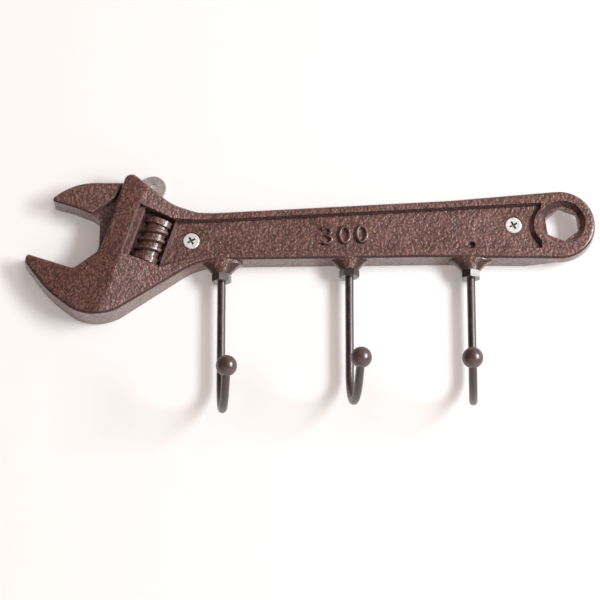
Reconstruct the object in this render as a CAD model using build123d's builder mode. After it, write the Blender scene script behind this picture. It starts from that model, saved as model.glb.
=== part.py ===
from build123d import *

import os
from math import acos, atan2, cos, degrees, radians, sin, sqrt, tan

# A cast-iron wall rack in the form of an adjustable wrench, with three ball-ended
# J hooks screwed into its lower edge and two screws that hold it to the wall.
# Millimetres. X runs to the right along the rack and Z is up. The wall is the plane
# Y = 0 and the rack stands in front of it, towards -Y. The origin is on the wall,
# within 2 mm of the middle between the two wall screws.

# ---------------------------------------------------------------- handle of the casting
rim_height = 13.0  # wall to the front of the handle's raised rim
panel_recess = 2.6  # how far the handle's panel lies below the rim
panel_draft = 24.0  # degrees, slope of the recess walls
rim_bottom = 5.2  # width of the rim along the lower edge
side_draft = 3.0  # degrees, by which the casting narrows towards its front
edge_round = 1.9  # round along the front edges
corner_margin = 0.5  # a sharp corner's round is larger than the edge round by this
back_bevel = 0.6  # bevel along the back edges
waist = (-75.0, 13.2)  # narrowest place of the handle
waist_soften = 40.0
waist_run = 9.0  # short straight run left of the waist
waist_rise = 0.3
waist_run_soften = 14.0
flare = (52.0, 19.7)  # where the upper edge starts to rise to the ring
flare_soften = 150.0
belly = (42.0, -13.6)  # highest place of the lower edge
belly_soften = 700.0
panel_waist_high = 8.5  # upper edge of the panel at the waist
panel_waist_low = -10.8  # lower edge of the panel at the waist
panel_rise = 2.9  # degrees, slope of the panel's upper edge
panel_high_soften = 30.0
panel_low_soften = 50.0
panel_end = 99.8  # where the panel runs into the ring's collar

# ---------------------------------------------------------------- ring end
ring_x = 109.4
ring_z = 5.0
ring_radius = 19.6
ring_thickness = 6.8  # the ring's back stands off the wall by the rest of the rim's height
relief_start = 89.5  # where the back starts to step away from the wall
relief_run = 18.0  # length of that slope
collar_x = 107.9  # the raised collar that ends the panel
collar_z = 5.0
collar_radius = 14.5
collar_slope = 42.0  # degrees, from upright
hex_x = 110.7
hex_z = 6.0
hex_flats = 16.6
hex_turn = -8.0  # degrees, from a corner straight up
hex_round = 1.3
mouth_radius = 12.5  # front edge of the hex hole's lead-in
mouth_depth = 2.9
mouth_step = 0.3  # flat between the lead-in and the hexagon's corners

# ---------------------------------------------------------------- head of the casting
ridge_height = 17.5  # crest of the head, wall to front
tip_height = 11.6  # front of the fixed jaw at its tip
ridge_x = -119.4  # a point of the crest line
ridge_z = 3.1
ridge_lean = 18.5  # degrees, crest line from the vertical
ridge_to_tip = 47.6
ridge_to_handle = 32.0
ridge_soften = 9.0  # round over the crest
slope_soften = 60.0  # round where the head's slope meets the handle

head_corner = (-121.6, 38.0)  # top corner of the head, before its round
throat = (-135.8, -8.4)  # lower end of the head's left edge, before its round
jaw_seat = (-149.6, -18.0)  # inner end of the fixed jaw's contact edge
jaw_tip = (-175.4, -8.6)
jaw_heel = (-176.3, -14.2)
jaw_flank = (-163.8, -31.6)
jaw_base = (-138.6, -52.3)
jaw_root = (-82.4, -14.6)
shoulder = (-97.4, 17.6)  # end of the straight upper right edge of the head
head_round = 4.8
throat_round = 6.0
seat_round = 2.6
flank_soften = 60.0
base_soften = 25.0
root_soften = 40.0
shoulder_soften = 22.0

# movable jaw, moulded in one with the head
beak_height = 13.4
beak_tip = (-163.2, 19.8)
beak_top = (-149.7, 30.0)
beak_corner = (-123.0, 29.7)  # where the beak's upper edge meets the head
beak_step = (-127.7, 20.7)
beak_heel = (-140.1, 11.8)
beak_under = (-149.3, 15.6)
beak_round = 1.4
beak_margin = 0.3  # the tip's round is larger than the beak's edge round by this
beak_soften = 34.0  # round of the beak's back
under_soften = 20.0
neck_height = 10.4
neck_heel = (-135.9, 8.6)  # lowest point of the neck in the jaw's mouth
neck_tuck = 2.0  # how far the neck reaches under the beak
neck_width = 1.3  # strip of the neck that shows beside the head's left edge
neck_side = (-136.2, -5.6)  # lower end of the neck's straight side
neck_foot = (-138.2, -11.4)  # where the neck runs out into the jaw's mouth

# worm in its window, placed across and along the crest line
window_left = 0.8
window_right = 21.4
window_low = -15.1
window_high = 14.2  # upper edge at the left
window_high_right = 12.4
window_floor = 8.8
ledge_width = 3.3
ledge_height = 14.9
window_bevel = 0.8  # along the window's left edge and the ledge's right one
worm_radius = 8.3
worm_root = 6.9
worm_front = 15.3
worm_sink = 1.0  # how far the worm reaches below the window's floor
worm_length = 24.6
worm_collar = 3.2
worm_threads = 3
worm_pitch = 5.1
worm_thread_foot = 3.4
worm_thread_crest = 1.3
worm_thread_tilt = 12.0  # degrees
worm_lean = 2.0  # degrees, worm axis against the crest line
worm_x = 12.7
worm_z = -2.0

# ---------------------------------------------------------------- bosses and hooks
hook_names = ("left", "middle", "right")
hook_x = (-70.8, -2.8, 61.9)
boss_bottom = (-20.8, -18.5, -19.4)
hook_stem = (59.3, 57.3, 57.0)  # boss to the centre of the hook's bend
hook_turn = (6.0, 7.5, -2.6)  # degrees from straight out, to the right
nut_turn = (-13.0, 27.0, -4.0)  # degrees of a corner from straight out
boss_width = 22.5
boss_thickness = 12.4
boss_waist = 7.2  # half width of the boss halfway down
boss_radius = 4.9
boss_height = 5.4
boss_root = 4.0  # how far a boss reaches up into the handle
rod_radius = 2.22
rod_in_boss = 12.0
tapped_depth = 13.0
rod_axis = 6.5  # wall to the axis of the rods
rod_end_bevel = 0.5
bend_radius = 20.0
bend_sweep = 136.0  # degrees
tip_straight = 13.0  # end of the bend to the ball's centre
ball_radius = 5.5
ball_bore_depth = 5.0
swivel_fit = 0.05  # radial gap of a rod in its boss and its nut
ball_fit = 0.03
nut_flats = 9.3
nut_height = 4.0
nut_bevel = 0.55

# ---------------------------------------------------------------- wall screws
screw_span = 171.9
screw_rise = 8.2  # the right screw sits higher than the left one
screw_middle = (-1.1, 1.3)
screw_length = 40.0
shank_radius = 2.0  # plain shank inside the casting
thread_radius = 2.25  # screw thread's crest, behind the wall plane
screw_point_length = 7.0
screw_head_radius = 4.45
screw_head_rim = 0.9
screw_head_dome = 0.7
screw_hole_fit = 0.35  # radial gap round the shank
countersink_margin = 0.6  # ring of the countersink that shows round the head
countersink_fit = 0.05
cross_width = 1.1
cross_length = 4.6
cross_depth = 1.7
cross_turn = 28.0  # degrees
cross_draft = 8.0  # degrees

# ---------------------------------------------------------------- hanging tab
tab_x = -108.2
tab_z = 30.5
tab_radius = 6.9
tab_thickness = 2.0
tab_hole_radius = 1.75
tab_hole_rise = 0.8
tab_tail_width = 8.0
tab_tail_length = 16.0
tab_lean = 38.0  # degrees, tail against the vertical
tab_fit = 0.1
tab_edge = 0.5

# ---------------------------------------------------------------- casting pit
pit_x = 62.6
pit_z = -5.7
pit_radius = 2.0
pit_sink = 0.6  # how far the pit's centre lies below the panel

upright_share = 0.8  # an edge is upright if it rises by this share of its run


def on_ridge(across, along):
    """A point of the wall plane, given across and along the crest line."""
    lean = radians(ridge_lean)
    return (
        ridge_x + across * cos(lean) + along * sin(lean),
        ridge_z - across * sin(lean) + along * cos(lean),
    )


def tangent_angle(point, centre, radius, side):
    """Where a line from the point touches the circle, on its upper (-1) or lower (+1) side."""
    to_point = Vector(point[0] - centre[0], point[1] - centre[1])
    bearing = degrees(atan2(to_point.Y, to_point.X)) % 360
    return bearing + side * degrees(acos(radius / to_point.length))


def round_corners(sketch, rounds):
    """Rounds the sketch's corners nearest to the given points."""
    for point, radius in rounds:
        corner = sketch.vertices().sort_by_distance((point[0], point[1], 0))[0]
        fillet(corner, radius)


def front_edges(part, lowest):
    """Edges between the upright sides and the front, from a height above the wall."""
    found = ShapeList()
    for edge in part.edges():
        box = edge.bounding_box()
        upright = box.size.Y > upright_share * max(box.size.X, box.size.Z)
        if -box.max.Y > lowest and not upright:
            found.append(edge)
    return found


front = Plane.XZ  # local X is X, local Y is Z, and its normal points out of the wall
ridge_u = Vector(sin(radians(ridge_lean)), 0, cos(radians(ridge_lean)))
ridge_w = Vector(cos(radians(ridge_lean)), 0, -sin(radians(ridge_lean)))
ridge_plane = Plane(origin=(ridge_x, 0, ridge_z), x_dir=ridge_w, z_dir=-ridge_u)
panel_height = rim_height - panel_recess
ring_centre = (ring_x, ring_z)
hex_centre = (hex_x, hex_z)
ring_standoff = rim_height - ring_thickness
beyond = 80.0  # cuts and intersections run this far past the casting
ridge_margin = 3.0  # the head starts this much higher than its crest

os.makedirs("parts", exist_ok=True)

# ================================================================ wrench casting
# The fixed jaw, the head, the handle and the ring in one outline, seen from the front.
waist_left = (waist[0] - waist_run, waist[1] + waist_rise)
with BuildPart() as wrench_body:
    with BuildSketch(front) as body_outline:
        with BuildLine():
            low_touch = tangent_angle(belly, ring_centre, ring_radius, 1)
            high_touch = tangent_angle(flare, ring_centre, ring_radius, -1)
            ring_arc = CenterArc(ring_centre, ring_radius, low_touch, high_touch + 360 - low_touch)
            Polyline(
                ring_arc @ 1,
                flare,
                waist,
                waist_left,
                shoulder,
                head_corner,
                throat,
                jaw_seat,
                jaw_tip,
                jaw_heel,
                jaw_flank,
                jaw_base,
                jaw_root,
                belly,
                ring_arc @ 0,
            )
        make_face()
        round_corners(
            body_outline,
            [
                (flare, flare_soften),
                (waist, waist_soften),
                (waist_left, waist_run_soften),
                (shoulder, shoulder_soften),
                (head_corner, head_round),
                (throat, throat_round),
                (jaw_seat, seat_round),
                (jaw_tip, edge_round + corner_margin),
                (jaw_heel, edge_round + corner_margin),
                (jaw_flank, flank_soften),
                (jaw_base, base_soften),
                (jaw_root, root_soften),
                (belly, belly_soften),
            ],
        )
    extrude(amount=ridge_height + ridge_margin, taper=side_draft)
    chamfer(wrench_body.edges().group_by(Axis.Y)[-1], back_bevel)
    with BuildSketch(ridge_plane) as gable:
        fall = (ridge_height - tip_height) / ridge_to_tip
        with BuildLine():
            Polyline(
                (-beyond, ridge_height - beyond * fall),
                (0.0, ridge_height),
                (ridge_to_handle, rim_height),
                (5 * beyond, rim_height),
                (5 * beyond, -1.0),
                (-beyond, -1.0),
                close=True,
            )
        make_face()
        crest = (0.0, ridge_height)
        slope_end = (ridge_to_handle, rim_height)
        round_corners(gable, [(crest, ridge_soften), (slope_end, slope_soften)])
    extrude(amount=2 * beyond, both=True, mode=Mode.INTERSECT)
    fillet(front_edges(wrench_body.part, tip_height / 2), edge_round)

# The movable jaw: a beak on a lower neck that runs along the head's left edge.
with BuildPart() as beak:
    with BuildSketch(front) as beak_outline:
        with BuildLine():
            Polyline(beak_tip, beak_top, beak_corner, beak_step, beak_heel, beak_under, close=True)
        make_face()
        tip_round = beak_round + beak_margin
        beak_rounds = [(beak_top, beak_soften), (beak_tip, tip_round), (beak_under, under_soften)]
        round_corners(beak_outline, beak_rounds)
    extrude(amount=beak_height)
    fillet(front_edges(beak.part, beak_height / 2), beak_round)

with BuildPart() as neck:
    with BuildSketch(front):
        with BuildLine():
            Polyline(
                (beak_corner[0] - beak_round, beak_corner[1] - 2 * beak_round),
                (beak_corner[0] + neck_width, beak_corner[1] - neck_width),
                (throat[0] + 3 * neck_width, neck_foot[1]),
                neck_foot,
                neck_side,
                neck_heel,
                beak_heel,
                (beak_heel[0] + neck_tuck, beak_heel[1] + 2 * neck_tuck),
                close=True,
            )
        make_face()
    extrude(amount=neck_height)

# The worm: end collars square to its axis and tilted threads between them.
worm_seat = on_ridge(worm_x, worm_z)
worm_axis = Plane(
    origin=(worm_seat[0], worm_radius - worm_front, worm_seat[1]),
    x_dir=(0, -1, 0),
    z_dir=(sin(radians(ridge_lean + worm_lean)), 0, cos(radians(ridge_lean + worm_lean))),
)
thread_lean = radians(ridge_lean + worm_lean - worm_thread_tilt)
thread_up = Vector(sin(thread_lean), 0, cos(thread_lean))
with BuildPart() as worm:
    with BuildSketch(worm_axis):
        Circle(worm_root)
    extrude(amount=worm_length / 2, both=True)
    for end in (-1, 1):
        with BuildSketch(worm_axis.offset(end * (worm_length - worm_collar) / 2)):
            Circle(worm_radius)
        extrude(amount=worm_collar / 2, both=True)
    for turn in range(worm_threads):
        along = (turn - (worm_threads - 1) / 2) * worm_pitch
        middle = worm_axis.origin + worm_axis.z_dir * along
        with BuildSketch(Plane(origin=middle, x_dir=(0, -1, 0), z_dir=thread_up)):
            Circle(worm_radius)
        extrude(amount=worm_thread_crest / 2, both=True)
        for side in (-1, 1):
            thread_side = Plane(
                origin=middle + thread_up * (side * worm_thread_crest / 2),
                x_dir=(0, -1, 0),
                z_dir=thread_up * side,
            )
            with BuildSketch(thread_side):
                Circle(worm_radius)
            extrude(
                amount=(worm_thread_foot - worm_thread_crest) / 2,
                taper=degrees(atan2(worm_radius - worm_root, (worm_thread_foot - worm_thread_crest) / 2)),
            )

    split(bisect_by=front.offset(window_floor - worm_sink), keep=Keep.TOP)

# A boss under the handle for each hook, flared where it meets the casting.
bosses = []
for x, low in zip(hook_x, boss_bottom):
    with BuildPart() as boss:
        with BuildSketch(Plane((x, -rod_axis, low), x_dir=(1, 0, 0), z_dir=(0, 0, 1))):
            Circle(boss_radius)
        with BuildSketch(Plane((x, -rod_axis, low + boss_height / 2), x_dir=(1, 0, 0), z_dir=(0, 0, 1))):
            Ellipse(boss_waist, (boss_radius + boss_thickness / 2) / 2)
        with BuildSketch(Plane((x, -rod_axis, low + boss_height), x_dir=(1, 0, 0), z_dir=(0, 0, 1))):
            Ellipse(boss_width / 2, boss_thickness / 2)
        loft()
        with BuildSketch(Plane((x, -rod_axis, low + boss_height), x_dir=(1, 0, 0), z_dir=(0, 0, 1))):
            Ellipse(boss_width / 2, boss_thickness / 2)
        extrude(amount=boss_root)
    bosses.append(boss.part)

# The casting: all of these in one iron piece, with its recesses and holes.
left_screw = (screw_middle[0] - screw_span / 2, screw_middle[1] - screw_rise / 2)
right_screw = (screw_middle[0] + screw_span / 2, screw_middle[1] + screw_rise / 2)
wall_draft = panel_recess * tan(radians(panel_draft))
panel_left_top = on_ridge(window_right, window_high_right)
panel_left_low = on_ridge(window_right, window_low)
panel_low = (waist[0], panel_waist_low)
panel_high = (waist[0], panel_waist_high)
panel_right_low = belly[1] + rim_bottom
panel_right_high = panel_waist_high + (panel_end - waist[0]) * tan(radians(panel_rise))
hex_corner = hex_flats / sqrt(3)
countersink_radius = screw_head_radius + countersink_margin
tab_way = Vector(-sin(radians(tab_lean)), -cos(radians(tab_lean)))
tail_middle = (tab_x + tab_way.X * tab_tail_length / 2, tab_z + tab_way.Y * tab_tail_length / 2)
window_fall = (window_high - window_high_right) / (window_right - window_left)

with BuildPart() as wrench_casting:
    add(wrench_body.part)
    add(neck.part)
    add(beak.part)
    for boss_part in bosses:
        add(boss_part)

    # recess of the handle's panel, with drafted walls
    with BuildSketch(front.offset(panel_height)) as panel:
        with BuildLine():
            Polyline(
                panel_left_top,
                panel_high,
                (panel_end, panel_right_high),
                (panel_end, panel_right_low),
                (belly[0], panel_right_low),
                panel_low,
                panel_left_low,
                close=True,
            )
        make_face()
        offset(amount=-wall_draft, kind=Kind.INTERSECTION)
        round_corners(panel, [(panel_high, panel_high_soften), (panel_low, panel_low_soften)])
    extrude(amount=ridge_height - panel_height, taper=-panel_draft, mode=Mode.SUBTRACT)
    with BuildSketch(front.offset(panel_height)):
        with Locations((collar_x, collar_z)):
            Circle(collar_radius)
    extrude(amount=panel_recess, taper=collar_slope)

    # the ring's back, relieved off the wall, and its hexagon with a round lead-in
    with BuildSketch(Plane.XY):
        with BuildLine():
            Polyline(
                (relief_start, 1.0),
                (relief_start, 0.0),
                (relief_start + relief_run, -ring_standoff),
                (ring_x + beyond, -ring_standoff),
                (ring_x + beyond, 1.0),
                close=True,
            )
        make_face()
    extrude(amount=beyond, both=True, mode=Mode.SUBTRACT)
    with BuildSketch(front.offset(rim_height - mouth_depth)):
        with Locations(hex_centre):
            Circle(hex_corner + mouth_step)
    with BuildSketch(front.offset(rim_height)):
        with Locations(hex_centre):
            Circle(mouth_radius)
    loft(mode=Mode.SUBTRACT)
    with BuildSketch(front) as hexagon:
        with Locations(hex_centre):
            RegularPolygon(hex_corner, 6, rotation=90 - hex_turn)
        fillet(hexagon.vertices(), hex_round)
    extrude(amount=rim_height, mode=Mode.SUBTRACT)

    # the worm's window with the ledge along its left side, and the worm
    with BuildSketch(front.offset(window_floor)):
        with BuildLine():
            Polyline(
                on_ridge(window_left, window_low),
                on_ridge(window_left, window_high),
                on_ridge(window_right, window_high_right),
                on_ridge(window_right, window_low),
                close=True,
            )
        make_face()
    extrude(amount=ridge_height, mode=Mode.SUBTRACT)
    edge_x, edge_z = on_ridge(window_left, 0)
    chamfer(wrench_casting.edges().sort_by_distance((edge_x, -ridge_height, edge_z))[0], window_bevel)
    with BuildSketch(front.offset(window_floor)):
        with BuildLine():
            Polyline(
                on_ridge(window_left, window_low),
                on_ridge(window_left, window_high),
                on_ridge(window_left + ledge_width, window_high - ledge_width * window_fall),
                on_ridge(window_left + ledge_width, window_low),
                close=True,
            )
        make_face()
    extrude(amount=ledge_height - window_floor)
    edge_x, edge_z = on_ridge(window_left + ledge_width, 0)
    chamfer(wrench_casting.edges().sort_by_distance((edge_x, -ledge_height, edge_z))[0], window_bevel)
    add(worm.part)

    # holes for the hooks, the wall screws and the hanging tab
    for x, low in zip(hook_x, boss_bottom):
        with BuildSketch(Plane((x, -rod_axis, low), x_dir=(1, 0, 0), z_dir=(0, 0, 1))):
            Circle(rod_radius + swivel_fit)
        extrude(amount=tapped_depth, mode=Mode.SUBTRACT)
    for x, z in (left_screw, right_screw):
        with BuildSketch(front):
            with Locations((x, z)):
                Circle(thread_radius + screw_hole_fit)
        extrude(amount=rim_height, mode=Mode.SUBTRACT)
        with BuildSketch(front.offset(panel_height)):
            with Locations((x, z)):
                Circle(countersink_radius)
        extrude(amount=-(countersink_radius - shank_radius), taper=45, mode=Mode.SUBTRACT)
    with BuildSketch(front):
        with Locations(tail_middle):
            Rectangle(
                tab_tail_width + 2 * tab_fit,
                tab_tail_length + 2 * tab_fit,
                rotation=-tab_lean,
            )
        with Locations((tab_x, tab_z)):
            Circle(tab_radius + tab_fit)
    extrude(amount=tab_thickness + tab_fit, mode=Mode.SUBTRACT)

    # a pit that the casting left in the handle
    with Locations((pit_x, pit_sink - panel_height, pit_z)):
        Sphere(pit_radius, mode=Mode.SUBTRACT)

wrench_casting.part.label = "wrench_casting"
export_step(wrench_casting.part, "parts/wrench_casting.step")

# ================================================================ hanging tab
with BuildPart() as hanging_tab:
    with BuildSketch(front):
        with Locations((tab_x, tab_z)):
            Circle(tab_radius)
    extrude(amount=tab_thickness)
    fillet(hanging_tab.edges(), tab_edge)
    with BuildSketch(front):
        with Locations(tail_middle):
            Rectangle(tab_tail_width, tab_tail_length, rotation=-tab_lean)
    extrude(amount=tab_thickness)
    with BuildSketch(front):
        with Locations((tab_x, tab_z + tab_hole_rise)):
            Circle(tab_hole_radius)
    extrude(amount=tab_thickness, mode=Mode.SUBTRACT)
hanging_tab.part.label = "hanging_tab"
export_step(hanging_tab.part, "parts/hanging_tab.step")

# ================================================================ wall screws
head_seat = panel_height - countersink_margin + countersink_fit * sqrt(2)
screw_end = head_seat - screw_length
for side, (x, z) in (("left", left_screw), ("right", right_screw)):
    axis_plane = Plane((x, 0, z), x_dir=(1, 0, 0), z_dir=(0, 0, -1))
    with BuildPart() as wall_screw:
        with BuildSketch(axis_plane):
            with BuildLine():
                Polyline(
                    (0, head_seat + screw_head_rim),
                    (0, screw_end),
                    (thread_radius, screw_end + screw_point_length),
                    (thread_radius, 0),
                    (shank_radius, 0),
                    (shank_radius, head_seat - screw_head_radius + shank_radius),
                    (screw_head_radius, head_seat),
                    (screw_head_radius, head_seat + screw_head_rim),
                    close=True,
                )
            make_face()
        revolve(axis=Axis((x, 0, z), (0, 1, 0)))
        head_top = wall_screw.faces().sort_by(Axis.Y)[0]
        fillet(head_top.edges(), screw_head_dome)
        with BuildSketch(front.offset(head_seat + screw_head_rim)):
            with Locations((x, z)):
                Rectangle(cross_length, cross_width, rotation=cross_turn)
                Rectangle(cross_width, cross_length, rotation=cross_turn)
        extrude(amount=-cross_depth, taper=cross_draft, mode=Mode.SUBTRACT)
    wall_screw.part.label = "wall_screw_" + side
    export_step(wall_screw.part, "parts/wall_screw_" + side + ".step")

# ================================================================ hooks and their lock nuts
ball_along = tip_straight - ball_radius + ball_bore_depth  # rod's end, past the bend
bend_end = radians(180 + bend_sweep)
for side, x, low, stem, turn, corner_turn in zip(
    hook_names, hook_x, boss_bottom, hook_stem, hook_turn, nut_turn
):
    outward = Vector(sin(radians(turn)), -cos(radians(turn)), 0)
    hook_plane = Plane((x, -rod_axis, low), x_dir=outward, z_dir=(outward.Y, -outward.X, 0))
    tip = (bend_radius * (1 + cos(bend_end)), bend_radius * sin(bend_end) - stem)
    rod_end = (tip[0] - ball_along * sin(bend_end), tip[1] + ball_along * cos(bend_end))
    ball_way = Vector(0, 0, cos(bend_end)) - outward * sin(bend_end)
    ball_centre = hook_plane.from_local_coords(tip) + ball_way * tip_straight

    with BuildPart() as hook_rod:
        with BuildLine(hook_plane) as rod_path:
            Line((0, rod_in_boss), (0, -stem))
            CenterArc((bend_radius, -stem), bend_radius, 180, bend_sweep)
            Line(tip, rod_end)
        with BuildSketch(Plane((x, -rod_axis, low + rod_in_boss), x_dir=(1, 0, 0), z_dir=(0, 0, -1))):
            Circle(rod_radius)
        sweep(path=rod_path.line)
        chamfer(hook_rod.edges().sort_by(Axis.Z)[-1], rod_end_bevel)
    hook_rod.part.label = "hook_rod_" + side
    export_step(hook_rod.part, "parts/hook_rod_" + side + ".step")

    with BuildPart() as hook_ball:
        with Locations(ball_centre):
            Sphere(ball_radius)
        with BuildSketch(Plane(ball_centre - ball_way * (ball_radius - ball_bore_depth), z_dir=-ball_way)):
            Circle(rod_radius + ball_fit)
        extrude(amount=2 * ball_radius, mode=Mode.SUBTRACT)
    hook_ball.part.label = "hook_ball_" + side
    export_step(hook_ball.part, "parts/hook_ball_" + side + ".step")

    with BuildPart() as lock_nut:
        nut_plane = Plane((x, -rod_axis, low - nut_height), x_dir=(1, 0, 0), z_dir=(0, 0, 1))
        with BuildSketch(nut_plane):
            RegularPolygon(nut_flats / sqrt(3), 6, rotation=corner_turn - 90)
        extrude(amount=nut_height)
        with BuildSketch(Plane((x, -rod_axis, low - nut_height), x_dir=(1, 0, 0), z_dir=(0, -1, 0))):
            nut_corner = nut_flats / sqrt(3)
            with BuildLine():
                Polyline(
                    (0, 0),
                    (nut_corner - nut_bevel, 0),
                    (nut_corner, nut_bevel / 2),
                    (nut_corner, nut_height - nut_bevel / 2),
                    (nut_corner - nut_bevel, nut_height),
                    (0, nut_height),
                    close=True,
                )
            make_face()
        revolve(axis=Axis((x, -rod_axis, low), (0, 0, 1)), mode=Mode.INTERSECT)
        with BuildSketch(nut_plane):
            Circle(rod_radius + swivel_fit)
        extrude(amount=nut_height, mode=Mode.SUBTRACT)
    lock_nut.part.label = "lock_nut_" + side
    export_step(lock_nut.part, "parts/lock_nut_" + side + ".step")
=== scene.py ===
import math

import bpy
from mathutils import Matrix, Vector


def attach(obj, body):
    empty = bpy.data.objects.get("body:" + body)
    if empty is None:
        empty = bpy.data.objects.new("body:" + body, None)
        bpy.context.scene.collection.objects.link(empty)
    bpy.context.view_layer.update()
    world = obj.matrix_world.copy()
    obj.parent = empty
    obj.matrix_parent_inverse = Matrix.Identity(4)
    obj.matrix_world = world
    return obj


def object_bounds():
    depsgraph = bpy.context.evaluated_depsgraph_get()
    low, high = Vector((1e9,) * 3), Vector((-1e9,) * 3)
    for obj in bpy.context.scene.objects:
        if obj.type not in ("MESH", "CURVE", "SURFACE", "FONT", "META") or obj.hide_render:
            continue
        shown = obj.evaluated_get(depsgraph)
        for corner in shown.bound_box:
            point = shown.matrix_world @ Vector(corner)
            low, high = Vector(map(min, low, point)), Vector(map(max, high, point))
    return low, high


# A cast-iron wall rack in the form of an adjustable wrench, on a white wall.
# Everything is in metres in the rack's own frame: the wall is the plane Y = 0, the
# rack stands in front of it towards -Y, X runs to the right and Z is up.

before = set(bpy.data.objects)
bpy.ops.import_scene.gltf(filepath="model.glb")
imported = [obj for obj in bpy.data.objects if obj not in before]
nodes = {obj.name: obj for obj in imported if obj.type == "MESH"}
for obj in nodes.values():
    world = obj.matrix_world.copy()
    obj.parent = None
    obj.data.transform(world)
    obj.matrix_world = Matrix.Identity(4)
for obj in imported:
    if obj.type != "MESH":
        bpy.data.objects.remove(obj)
cad_low, cad_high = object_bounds()
scene = bpy.context.scene
mm = 0.001
white = (1.0, 1.0, 1.0)
noise_span = (0.3, 0.7)  # most of a noise's values lie between these


# ---------------------------------------------------------------- node helpers
def new_material(name):
    """A new material with its node tree and its Principled shader."""
    material = bpy.data.materials.new(name)
    material.use_nodes = True
    tree = material.node_tree
    return material, tree, tree.nodes["Principled BSDF"]


def link(tree, source, target):
    tree.links.new(source, target)


def feed(tree, socket, value):
    """Gives a socket a number, a colour or what another socket puts out."""
    if isinstance(value, (int, float)):
        socket.default_value = value
    elif isinstance(value, tuple):
        socket.default_value = (*value, 1.0)
    else:
        link(tree, value, socket)


def object_point(tree):
    """The point of the surface in the rack's own frame."""
    return tree.nodes.new("ShaderNodeTexCoord").outputs["Object"]


def scaled(tree, point, size):
    """The point counted in steps of size metres, so that a texture's features get that size."""
    mapping = tree.nodes.new("ShaderNodeMapping")
    mapping.inputs["Scale"].default_value = [1.0 / size] * 3
    link(tree, point, mapping.inputs["Vector"])
    return mapping.outputs["Vector"]


def noise(tree, point, size, detail, rough):
    """Noise whose lumps are about size metres across."""
    node = tree.nodes.new("ShaderNodeTexNoise")
    node.inputs["Scale"].default_value = 1.0
    node.inputs["Detail"].default_value = detail
    node.inputs["Roughness"].default_value = rough
    link(tree, scaled(tree, point, size), node.inputs["Vector"])
    return node.outputs["Fac"]


def cells(tree, point, size):
    """Rounded grains about size metres across, 0 at each middle and more between them."""
    node = tree.nodes.new("ShaderNodeTexVoronoi")
    node.feature = "SMOOTH_F1"
    node.inputs["Scale"].default_value = 1.0
    node.inputs["Smoothness"].default_value = 0.6
    link(tree, scaled(tree, point, size), node.inputs["Vector"])
    return node.outputs["Distance"]


def ramp(tree, value, stops):
    """A colour ramp through (position, colour) stops."""
    node = tree.nodes.new("ShaderNodeValToRGB")
    elements = node.color_ramp.elements
    while len(elements) < len(stops):
        elements.new(0.5)
    for element, (position, colour) in zip(elements, stops):
        element.position = position
        element.color = (*colour, 1.0)
    link(tree, value, node.inputs["Fac"])
    return node.outputs["Color"]


def remap(tree, value, old, new):
    """Maps one (low, high) span onto another and holds it at the ends."""
    node = tree.nodes.new("ShaderNodeMapRange")
    node.inputs["From Min"].default_value, node.inputs["From Max"].default_value = old
    node.inputs["To Min"].default_value, node.inputs["To Max"].default_value = new
    link(tree, value, node.inputs["Value"])
    return node.outputs["Result"]


def combine(tree, operation, *values):
    """The result of a Math node on numbers or sockets."""
    node = tree.nodes.new("ShaderNodeMath")
    node.operation = operation
    for socket, value in zip(node.inputs, values):
        feed(tree, socket, value)
    return node.outputs["Value"]


def mix_colours(tree, factor, first, second, blend="MIX"):
    """The first colour where factor is 0 and the second, or their blend, where it is 1."""
    node = tree.nodes.new("ShaderNodeMix")
    node.data_type = "RGBA"
    node.blend_type = blend
    for name, value in (("Factor", factor), ("A", first), ("B", second)):
        feed(tree, [s for s in node.inputs if s.name == name and s.enabled][0], value)
    return [s for s in node.outputs if s.enabled][0]


def multiply_colours(tree, colour, *shades):
    """The colour under one shade after another."""
    for shade in shades:
        colour = mix_colours(tree, 1.0, colour, shade, "MULTIPLY")
    return colour


def mix_shaders(tree, factor, first, second):
    """The first shader where factor is 0 and the second where it is 1."""
    node = tree.nodes.new("ShaderNodeMixShader")
    link(tree, factor, node.inputs["Fac"])
    link(tree, first, node.inputs[1])
    link(tree, second, node.inputs[2])
    return node.outputs["Shader"]


def bump(tree, relief, height, below=None):
    """A relief of that height in metres, on top of another bump if one is given."""
    node = tree.nodes.new("ShaderNodeBump")
    node.inputs["Strength"].default_value = 1.0
    node.inputs["Distance"].default_value = height
    link(tree, relief, node.inputs["Height"])
    if below is not None:
        link(tree, below, node.inputs["Normal"])
    return node.outputs["Normal"]


# ---------------------------------------------------------------- shades
def lean_shade(tree):
    """Warm painted shade on faces that lean between facing the floor and facing the room."""
    dark = (0.30, 0.12, 0.099)
    normal = tree.nodes.new("ShaderNodeSeparateXYZ")
    link(tree, tree.nodes.new("ShaderNodeTexCoord").outputs["Normal"], normal.inputs["Vector"])
    frontal = combine(tree, "ABSOLUTE", normal.outputs["Y"])  # 1 facing the room, 0 facing the floor
    leaning = ramp(tree, frontal, [(0.28, white), (0.40, dark), (0.84, dark), (0.96, white)])
    level_or_up = remap(tree, normal.outputs["Z"], (-0.35, -0.10), (0.0, 1.0))
    return mix_colours(tree, level_or_up, leaning, white)


def crevice_shade(tree, depth):
    """Painted shade in narrow corners and holes, where depth is the share of light left."""
    occlusion = tree.nodes.new("ShaderNodeAmbientOcclusion")
    occlusion.samples = 6
    occlusion.only_local = True
    occlusion.inputs["Distance"].default_value = 2.2 * mm
    dark = (depth, depth * 0.9, depth * 0.9)
    return ramp(tree, occlusion.outputs["AO"], [(0.30, dark), (0.75, white)])


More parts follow.
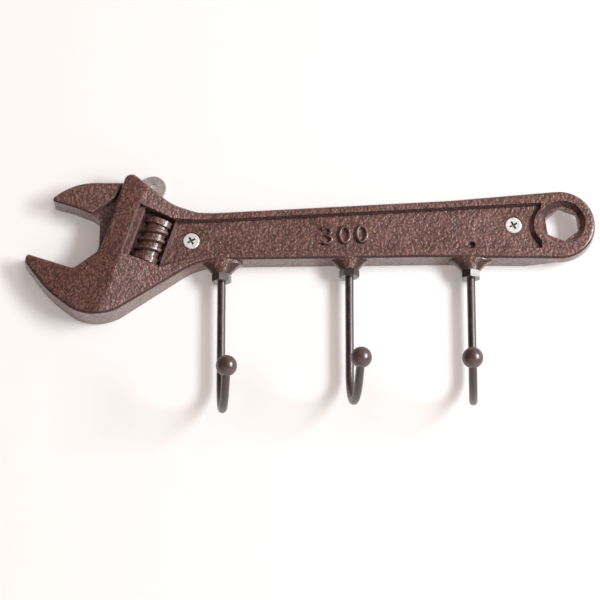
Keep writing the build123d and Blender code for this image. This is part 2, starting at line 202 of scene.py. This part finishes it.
# ---------------------------------------------------------------- materials
def painted_iron():
    """Rough sand-cast iron under thin brown paint, with painted shade on its leaning rounds and in its
    corners.
    """
    grain_weight = -0.55  # cells are 0 at a grain's middle, so less than 0 raises the middles
    grain_level = 0.24  # brings the grain back to a mean of about one half
    lean_span = (0.2, 1.0)  # the lean shade's values, from nearly its darkest to none
    material, tree, shader = new_material("painted_iron")
    point = object_point(tree)
    grit = noise(tree, point, 1.2 * mm, detail=2.0, rough=0.6)
    lumps = noise(tree, point, 4.5 * mm, detail=2.0, rough=0.5)
    mottle = noise(tree, point, 7.0 * mm, detail=3.0, rough=0.6)
    patches = noise(tree, point, 22.0 * mm, detail=2.0, rough=0.5)
    grain = combine(tree, "MULTIPLY", cells(tree, point, 1.7 * mm), grain_weight)
    grain = combine(tree, "ADD", combine(tree, "ADD", grain, grit), grain_level)

    dark_paint, paint, light_paint = (0.120, 0.040, 0.028), (0.138, 0.051, 0.039), (0.150, 0.062, 0.052)
    hollow, level, crest = (0.62, 0.58, 0.58), (0.96, 0.96, 0.96), (1.40, 1.50, 1.50)
    stained, clean = (0.84, 0.82, 0.82), (1.16, 1.18, 1.18)
    colour = ramp(tree, patches, [(0.35, dark_paint), (0.52, paint), (0.68, light_paint)])
    speckle = ramp(tree, grain, [(0.38, hollow), (0.50, level), (0.62, crest)])
    stain = ramp(tree, mottle, [(0.36, stained), (0.64, clean)])
    lean = lean_shade(tree)
    # lean and crevice_shade paint shade into the colour: darker on downward-leaning rounds and in corners
    colour = multiply_colours(tree, colour, speckle, stain, lean, crevice_shade(tree, 0.12))
    link(tree, colour, shader.inputs["Base Color"])

    polish = remap(tree, lumps, noise_span, (0.50, 0.34))
    worn = remap(tree, lean, lean_span, (0.4, 0.0))
    link(tree, combine(tree, "ADD", polish, worn), shader.inputs["Roughness"])
    link(tree, remap(tree, lean, lean_span, (0.05, 0.85)), shader.inputs["Coat Weight"])
    shader.inputs["Coat Roughness"].default_value = 0.18
    shader.inputs["Specular IOR Level"].default_value = 0.9

    coarse = bump(tree, lumps, 0.32 * mm)
    link(tree, coarse, shader.inputs["Coat Normal"])
    link(tree, bump(tree, grain, 0.55 * mm, coarse), shader.inputs["Normal"])
    return material


def glossy_brown(name, dark, light, roughness, coat):
    """Brown-black lacquer on steel, a little uneven."""
    material, tree, shader = new_material(name)
    point = object_point(tree)
    mottle = noise(tree, point, 4.0 * mm, detail=3.0, rough=0.6)
    wave = noise(tree, point, 4.5 * mm, detail=2.0, rough=0.5)
    link(tree, ramp(tree, mottle, [(0.35, dark), (0.7, light)]), shader.inputs["Base Color"])
    uneven = remap(tree, mottle, noise_span, (roughness * 0.8, roughness * 1.25))
    link(tree, uneven, shader.inputs["Roughness"])
    shader.inputs["Specular IOR Level"].default_value = 1.0
    shader.inputs["Coat Weight"].default_value = coat
    shader.inputs["Coat Roughness"].default_value = 0.35
    link(tree, bump(tree, wave, 0.04 * mm), shader.inputs["Normal"])
    return material


def zinc():
    """Bright zinc plate, faintly mottled, with painted shade in the cross of the screw."""
    material, tree, shader = new_material("zinc")
    mottle = noise(tree, object_point(tree), 1.6 * mm, detail=3.0, rough=0.6)
    plate = ramp(tree, mottle, [(0.3, (0.72, 0.73, 0.69)), (0.7, (0.92, 0.93, 0.89))])
    # crevice_shade paints shade into the screw's cross
    plate = multiply_colours(tree, plate, crevice_shade(tree, 0.18))
    link(tree, plate, shader.inputs["Base Color"])
    link(tree, remap(tree, mottle, noise_span, (0.34, 0.50)), shader.inputs["Roughness"])
    shader.inputs["Metallic"].default_value = 0.35
    link(tree, bump(tree, mottle, 0.04 * mm), shader.inputs["Normal"])
    return material


def grey_steel():
    """The hanging tab's plain grey steel sheet."""
    material, tree, shader = new_material("grey_steel")
    mottle = noise(tree, object_point(tree), 3.0 * mm, detail=3.0, rough=0.6)
    sheet = ramp(tree, mottle, [(0.3, (0.34, 0.30, 0.29)), (0.7, (0.48, 0.43, 0.42))])
    link(tree, sheet, shader.inputs["Base Color"])
    link(tree, remap(tree, mottle, noise_span, (0.40, 0.58)), shader.inputs["Roughness"])
    shader.inputs["Metallic"].default_value = 0.3
    link(tree, bump(tree, mottle, 0.06 * mm), shader.inputs["Normal"])
    return material


def assign(material, *names):
    """Gives the named CAD pieces the material."""
    for name in names:
        for slot in nodes[name].material_slots:
            slot.material = material


iron = painted_iron()
assign(iron, "wrench_casting")
assign(grey_steel(), "hanging_tab")
assign(zinc(), "wall_screw_left", "wall_screw_right")
rod_brown = glossy_brown("dark_rod", (0.016, 0.007, 0.006), (0.052, 0.024, 0.022), roughness=0.40, coat=0.3)
ball_brown = glossy_brown("dark_ball", (0.050, 0.023, 0.020), (0.085, 0.045, 0.041), roughness=0.34, coat=0.0)
nut_brown = glossy_brown("dark_nut", (0.010, 0.008, 0.008), (0.030, 0.022, 0.022), roughness=0.30, coat=1.0)
for side in ("left", "middle", "right"):
    assign(rod_brown, f"hook_rod_{side}")
    assign(ball_brown, f"hook_ball_{side}")
    assign(nut_brown, f"lock_nut_{side}")


# ---------------------------------------------------------------- raised digits
digit_width = 5.2 * mm
digit_height = 9.0 * mm
digit_lean = math.radians(3)
stroke_radius = 1.05 * mm
stroke_y = -11.0 * mm  # the strokes' middle, so near the panel that their backs sink into it


def arc(middle_up, half_height, start, end, steps):
    """Points along an ellipse as wide as a digit, between two angles in degrees."""
    points = []
    for step in range(steps + 1):
        turn = math.radians(start + (end - start) * step / steps)
        points.append((digit_width / 2 * math.cos(turn), middle_up + half_height * math.sin(turn)))
    return points


def raised_digit(name, stroke, x, z):
    """One rounded, raised digit standing on the panel, its middle at x and z."""
    curve = bpy.data.curves.new(name, "CURVE")
    curve.dimensions = "3D"
    curve.bevel_depth = stroke_radius
    curve.bevel_resolution = 3
    spline = curve.splines.new("POLY")
    spline.points.add(len(stroke) - 1)
    for point, (along, up) in zip(spline.points, stroke):
        turned_x = along * math.cos(digit_lean) - up * math.sin(digit_lean)
        turned_z = along * math.sin(digit_lean) + up * math.cos(digit_lean)
        point.co = (x + turned_x, stroke_y, z + turned_z, 1.0)
    piece = bpy.data.objects.new(name, curve)
    scene.collection.objects.link(piece)
    curve.materials.append(iron)
    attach(piece, "rack")


quarter = digit_height / 4
upper_bowl = arc(quarter, quarter, 150, -90, steps=14)
lower_bowl = arc(-quarter, quarter, 90, -150, steps=14)
three = upper_bowl + lower_bowl[1:]
zero = arc(0.0, digit_height / 2, 90, -270, steps=24)
raised_digit("digit_3", three, -14.9 * mm, -0.3 * mm)
raised_digit("digit_0_first", zero, -5.1 * mm, 0.1 * mm)
raised_digit("digit_0_second", zero, 4.0 * mm, 0.6 * mm)


# ---------------------------------------------------------------- wall and floor
wall_y = 0.2 * mm  # just behind the rack's flat back
stage_reach = 3.0  # to each side, and from the wall to the floor's front edge
floor_z = -1.2
wall_top = 2.2


def wall_paint():
    """White wall, seen from the room side only, that shows a little brighter than it is lit.

    It lets soft light through to the rack's back, which would be black in views from behind.
    """
    material, tree, shader = new_material("wall_paint")
    shader.inputs["Base Color"].default_value = (0.95, 0.985, 1.0, 1.0)
    shader.inputs["Roughness"].default_value = 0.9
    glow = tree.nodes.new("ShaderNodeEmission")
    glow.inputs["Color"].default_value = (1.0, 0.87, 0.82, 1.0)
    glow.inputs["Strength"].default_value = 1.14

    # the glow's share is smaller beside the rack, a painted shade around it, so that its shadow stays
    rays = tree.nodes.new("ShaderNodeLightPath").outputs
    seen = combine(tree, "ADD", rays["Is Camera Ray"], rays["Is Glossy Ray"])
    seen = combine(tree, "ADD", seen, rays["Is Transmission Ray"])
    seen = combine(tree, "MINIMUM", seen, 1.0)
    openness = tree.nodes.new("ShaderNodeAmbientOcclusion")
    openness.samples = 8
    openness.inputs["Distance"].default_value = 24.0 * mm
    share = remap(tree, openness.outputs["AO"], (0.74, 0.98), (0.21, 0.44))
    share = combine(tree, "MULTIPLY", seen, share)
    surface = mix_shaders(tree, share, shader.outputs["BSDF"], glow.outputs["Emission"])

    # the wall isn't there from behind, nor for shadow and diffuse rays
    clear = tree.nodes.new("ShaderNodeBsdfTransparent")
    behind = tree.nodes.new("ShaderNodeNewGeometry").outputs["Backfacing"]
    passing = combine(tree, "MAXIMUM", rays["Is Shadow Ray"], rays["Is Diffuse Ray"])
    gone = combine(tree, "MAXIMUM", behind, passing)
    surface = mix_shaders(tree, gone, surface, clear.outputs["BSDF"])
    link(tree, surface, tree.nodes["Material Output"].inputs["Surface"])
    return material


def floor_paint():
    """Plain pale floor."""
    material, _, shader = new_material("floor_paint")
    shader.inputs["Base Color"].default_value = (0.8, 0.79, 0.78, 1.0)
    shader.inputs["Roughness"].default_value = 0.9
    return material


def plane(name, corners, material):
    """A flat backdrop with four corners."""
    mesh = bpy.data.meshes.new(name)
    mesh.from_pydata(corners, [], [(0, 1, 2, 3)])
    mesh.materials.append(material)
    piece = bpy.data.objects.new(name, mesh)
    scene.collection.objects.link(piece)


low_left = (-stage_reach, wall_y, floor_z)
low_right = (stage_reach, wall_y, floor_z)
high_left = (-stage_reach, wall_y, wall_top)
high_right = (stage_reach, wall_y, wall_top)
front_left = (-stage_reach, -stage_reach, floor_z)
front_right = (stage_reach, -stage_reach, floor_z)
plane("wall", [low_left, low_right, high_right, high_left], wall_paint())
plane("floor", [front_left, front_right, low_right, low_left], floor_paint())


# ---------------------------------------------------------------- light
def key_lamp():
    """A tall soft lamp, to the right of the rack and level with it."""
    distance = 1.6
    side = math.radians(52)  # from straight in front
    rise = 0.05
    target = (cad_low + cad_high) / 2
    place = target + Vector((distance * math.sin(side), -distance * math.cos(side), rise))
    data = bpy.data.lights.new("key", "AREA")
    data.shape = "RECTANGLE"
    data.size = 0.36
    data.size_y = 0.85
    data.energy = 32.0
    lamp = bpy.data.objects.new("key", data)
    lamp.location = place
    lamp.rotation_euler = (target - place).to_track_quat("-Z", "Y").to_euler()
    scene.collection.objects.link(lamp)


def studio_world():
    """Soft warm fill, bright from the right and above, and a pale room behind the wall."""
    warm_fill = (1.0, 0.83, 0.78)
    pale_room = (1.0, 0.97, 0.95)
    room_level = 0.75
    world = bpy.data.worlds.new("studio")
    world.use_nodes = True
    tree = world.node_tree
    direction = tree.nodes.new("ShaderNodeSeparateXYZ")
    link(tree, tree.nodes.new("ShaderNodeTexCoord").outputs["Generated"], direction.inputs["Vector"])
    side = remap(tree, direction.outputs["X"], (-0.20, 0.30), (0.10, 0.72))
    height = remap(tree, direction.outputs["Z"], (-0.35, 0.30), (0.14, 1.0))
    behind = remap(tree, direction.outputs["Y"], (-0.05, 0.15), (0.0, 1.0))
    front = combine(tree, "SUBTRACT", 1.0, behind)
    fill = combine(tree, "MULTIPLY", combine(tree, "MULTIPLY", side, height), front)
    glow = combine(tree, "ADD", fill, combine(tree, "MULTIPLY", behind, room_level))
    background = tree.nodes["Background"]
    link(tree, mix_colours(tree, behind, warm_fill, pale_room), background.inputs["Color"])
    link(tree, glow, background.inputs["Strength"])
    return world


key_lamp()
scene.world = studio_world()

# ---------------------------------------------------------------- camera
azimuth = math.radians(0.67)
elevation = math.radians(-18.47)  # below the rack, looking up at it
distance = 1.5864
aim = Vector((-28.98, -13.0, -37.1)) * mm
towards_camera = Vector(
    (
        math.sin(azimuth) * math.cos(elevation),
        -math.cos(azimuth) * math.cos(elevation),
        math.sin(elevation),
    )
)
camera_data = bpy.data.cameras.new("camera")
camera_data.lens = 180.0
camera_data.sensor_width = 36.0
camera_data.clip_end = 20.0
camera = bpy.data.objects.new("camera", camera_data)
camera.location = aim + towards_camera * distance
camera.rotation_euler = (-towards_camera).to_track_quat("-Z", "Y").to_euler()
scene.collection.objects.link(camera)
scene.camera = camera

scene.view_settings.view_transform = "Standard"
